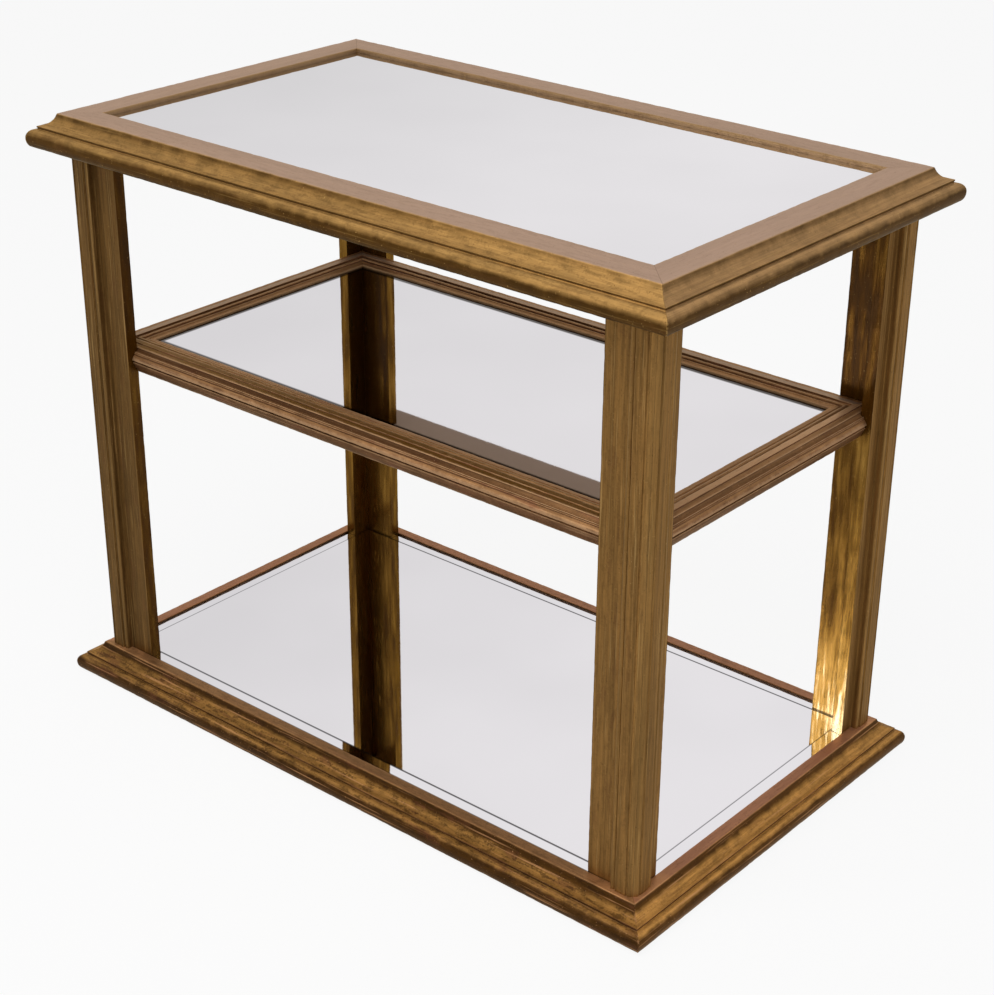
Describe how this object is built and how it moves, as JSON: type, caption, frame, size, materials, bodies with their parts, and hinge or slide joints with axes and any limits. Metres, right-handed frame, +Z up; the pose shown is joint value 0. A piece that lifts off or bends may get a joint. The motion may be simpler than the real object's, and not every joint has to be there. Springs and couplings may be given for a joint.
{
  "type": "serving table",
  "caption": "Open serving table: mirror-topped upper tier, middle shelf and base in gilt mouldings, joined by moulded L-section corner posts.",
  "frame": {"origin": "on the floor, below the middle of the table", "axes": "+X along the long side, +Y from front to back, +Z up"},
  "size_m": [0.745, 0.446, 0.6],
  "materials": {
    "cornice_gilt": "aged gilding over red ground, softly burnished",
    "post_gilt": "aged gilding with upright streaks",
    "shelf_gilt": "aged gilding, browner and redder than the cornice",
    "mirror_glass": "clear mirror",
    "core_board": "plain plywood",
    "beech_fixing": "plain beech",
    "screw_steel": "zinc plated",
    "pad_felt": "wool felt"
  },
  "bodies": {
    "root": {"top_rail_front": "cornice_gilt", "top_rail_right": "cornice_gilt", "top_rail_back": "cornice_gilt", "top_rail_left": "cornice_gilt", "top_board": "core_board", "top_mirror": "mirror_glass", "post_front_left_long_board": "post_gilt", "post_front_left_side_board": "post_gilt", "post_front_right_long_board": "post_gilt", "post_front_right_side_board": "post_gilt", "post_back_left_long_board": "post_gilt", "post_back_left_side_board": "post_gilt", "post_back_right_long_board": "post_gilt", "post_back_right_side_board": "post_gilt", "shelf_rail_front": "shelf_gilt", "shelf_rail_right": "shelf_gilt", "shelf_rail_back": "shelf_gilt", "shelf_rail_left": "shelf_gilt", "shelf_panel": "core_board", "shelf_mirror": "mirror_glass", "base_rail_front": "cornice_gilt", "base_rail_right": "cornice_gilt", "base_rail_back": "cornice_gilt", "base_rail_left": "cornice_gilt", "base_board": "core_board", "base_mirror": "mirror_glass", "felt_pad_front_left": "pad_felt", "shelf_screw_front_left": "screw_steel", "post_dowel_front_left_long": "beech_fixing", "base_screw_front_left_long": "screw_steel", "post_dowel_front_left_side": "beech_fixing", "base_screw_front_left_side": "screw_steel", "top_tongue_front_left": "beech_fixing", "base_tongue_front_left": "beech_fixing", "felt_pad_front_right": "pad_felt", "shelf_screw_front_right": "screw_steel", "post_dowel_front_right_long": "beech_fixing", "base_screw_front_right_long": "screw_steel", "post_dowel_front_right_side": "beech_fixing", "base_screw_front_right_side": "screw_steel", "top_tongue_front_right": "beech_fixing", "base_tongue_front_right": "beech_fixing", "felt_pad_back_left": "pad_felt", "shelf_screw_back_left": "screw_steel", "post_dowel_back_left_long": "beech_fixing", "base_screw_back_left_long": "screw_steel", "post_dowel_back_left_side": "beech_fixing", "base_screw_back_left_side": "screw_steel", "top_tongue_back_left": "beech_fixing", "base_tongue_back_left": "beech_fixing", "felt_pad_back_right": "pad_felt", "shelf_screw_back_right": "screw_steel", "post_dowel_back_right_long": "beech_fixing", "base_screw_back_right_long": "screw_steel", "post_dowel_back_right_side": "beech_fixing", "base_screw_back_right_side": "screw_steel", "top_tongue_back_right": "beech_fixing", "base_tongue_back_right": "beech_fixing"}
  },
  "joints": []
}
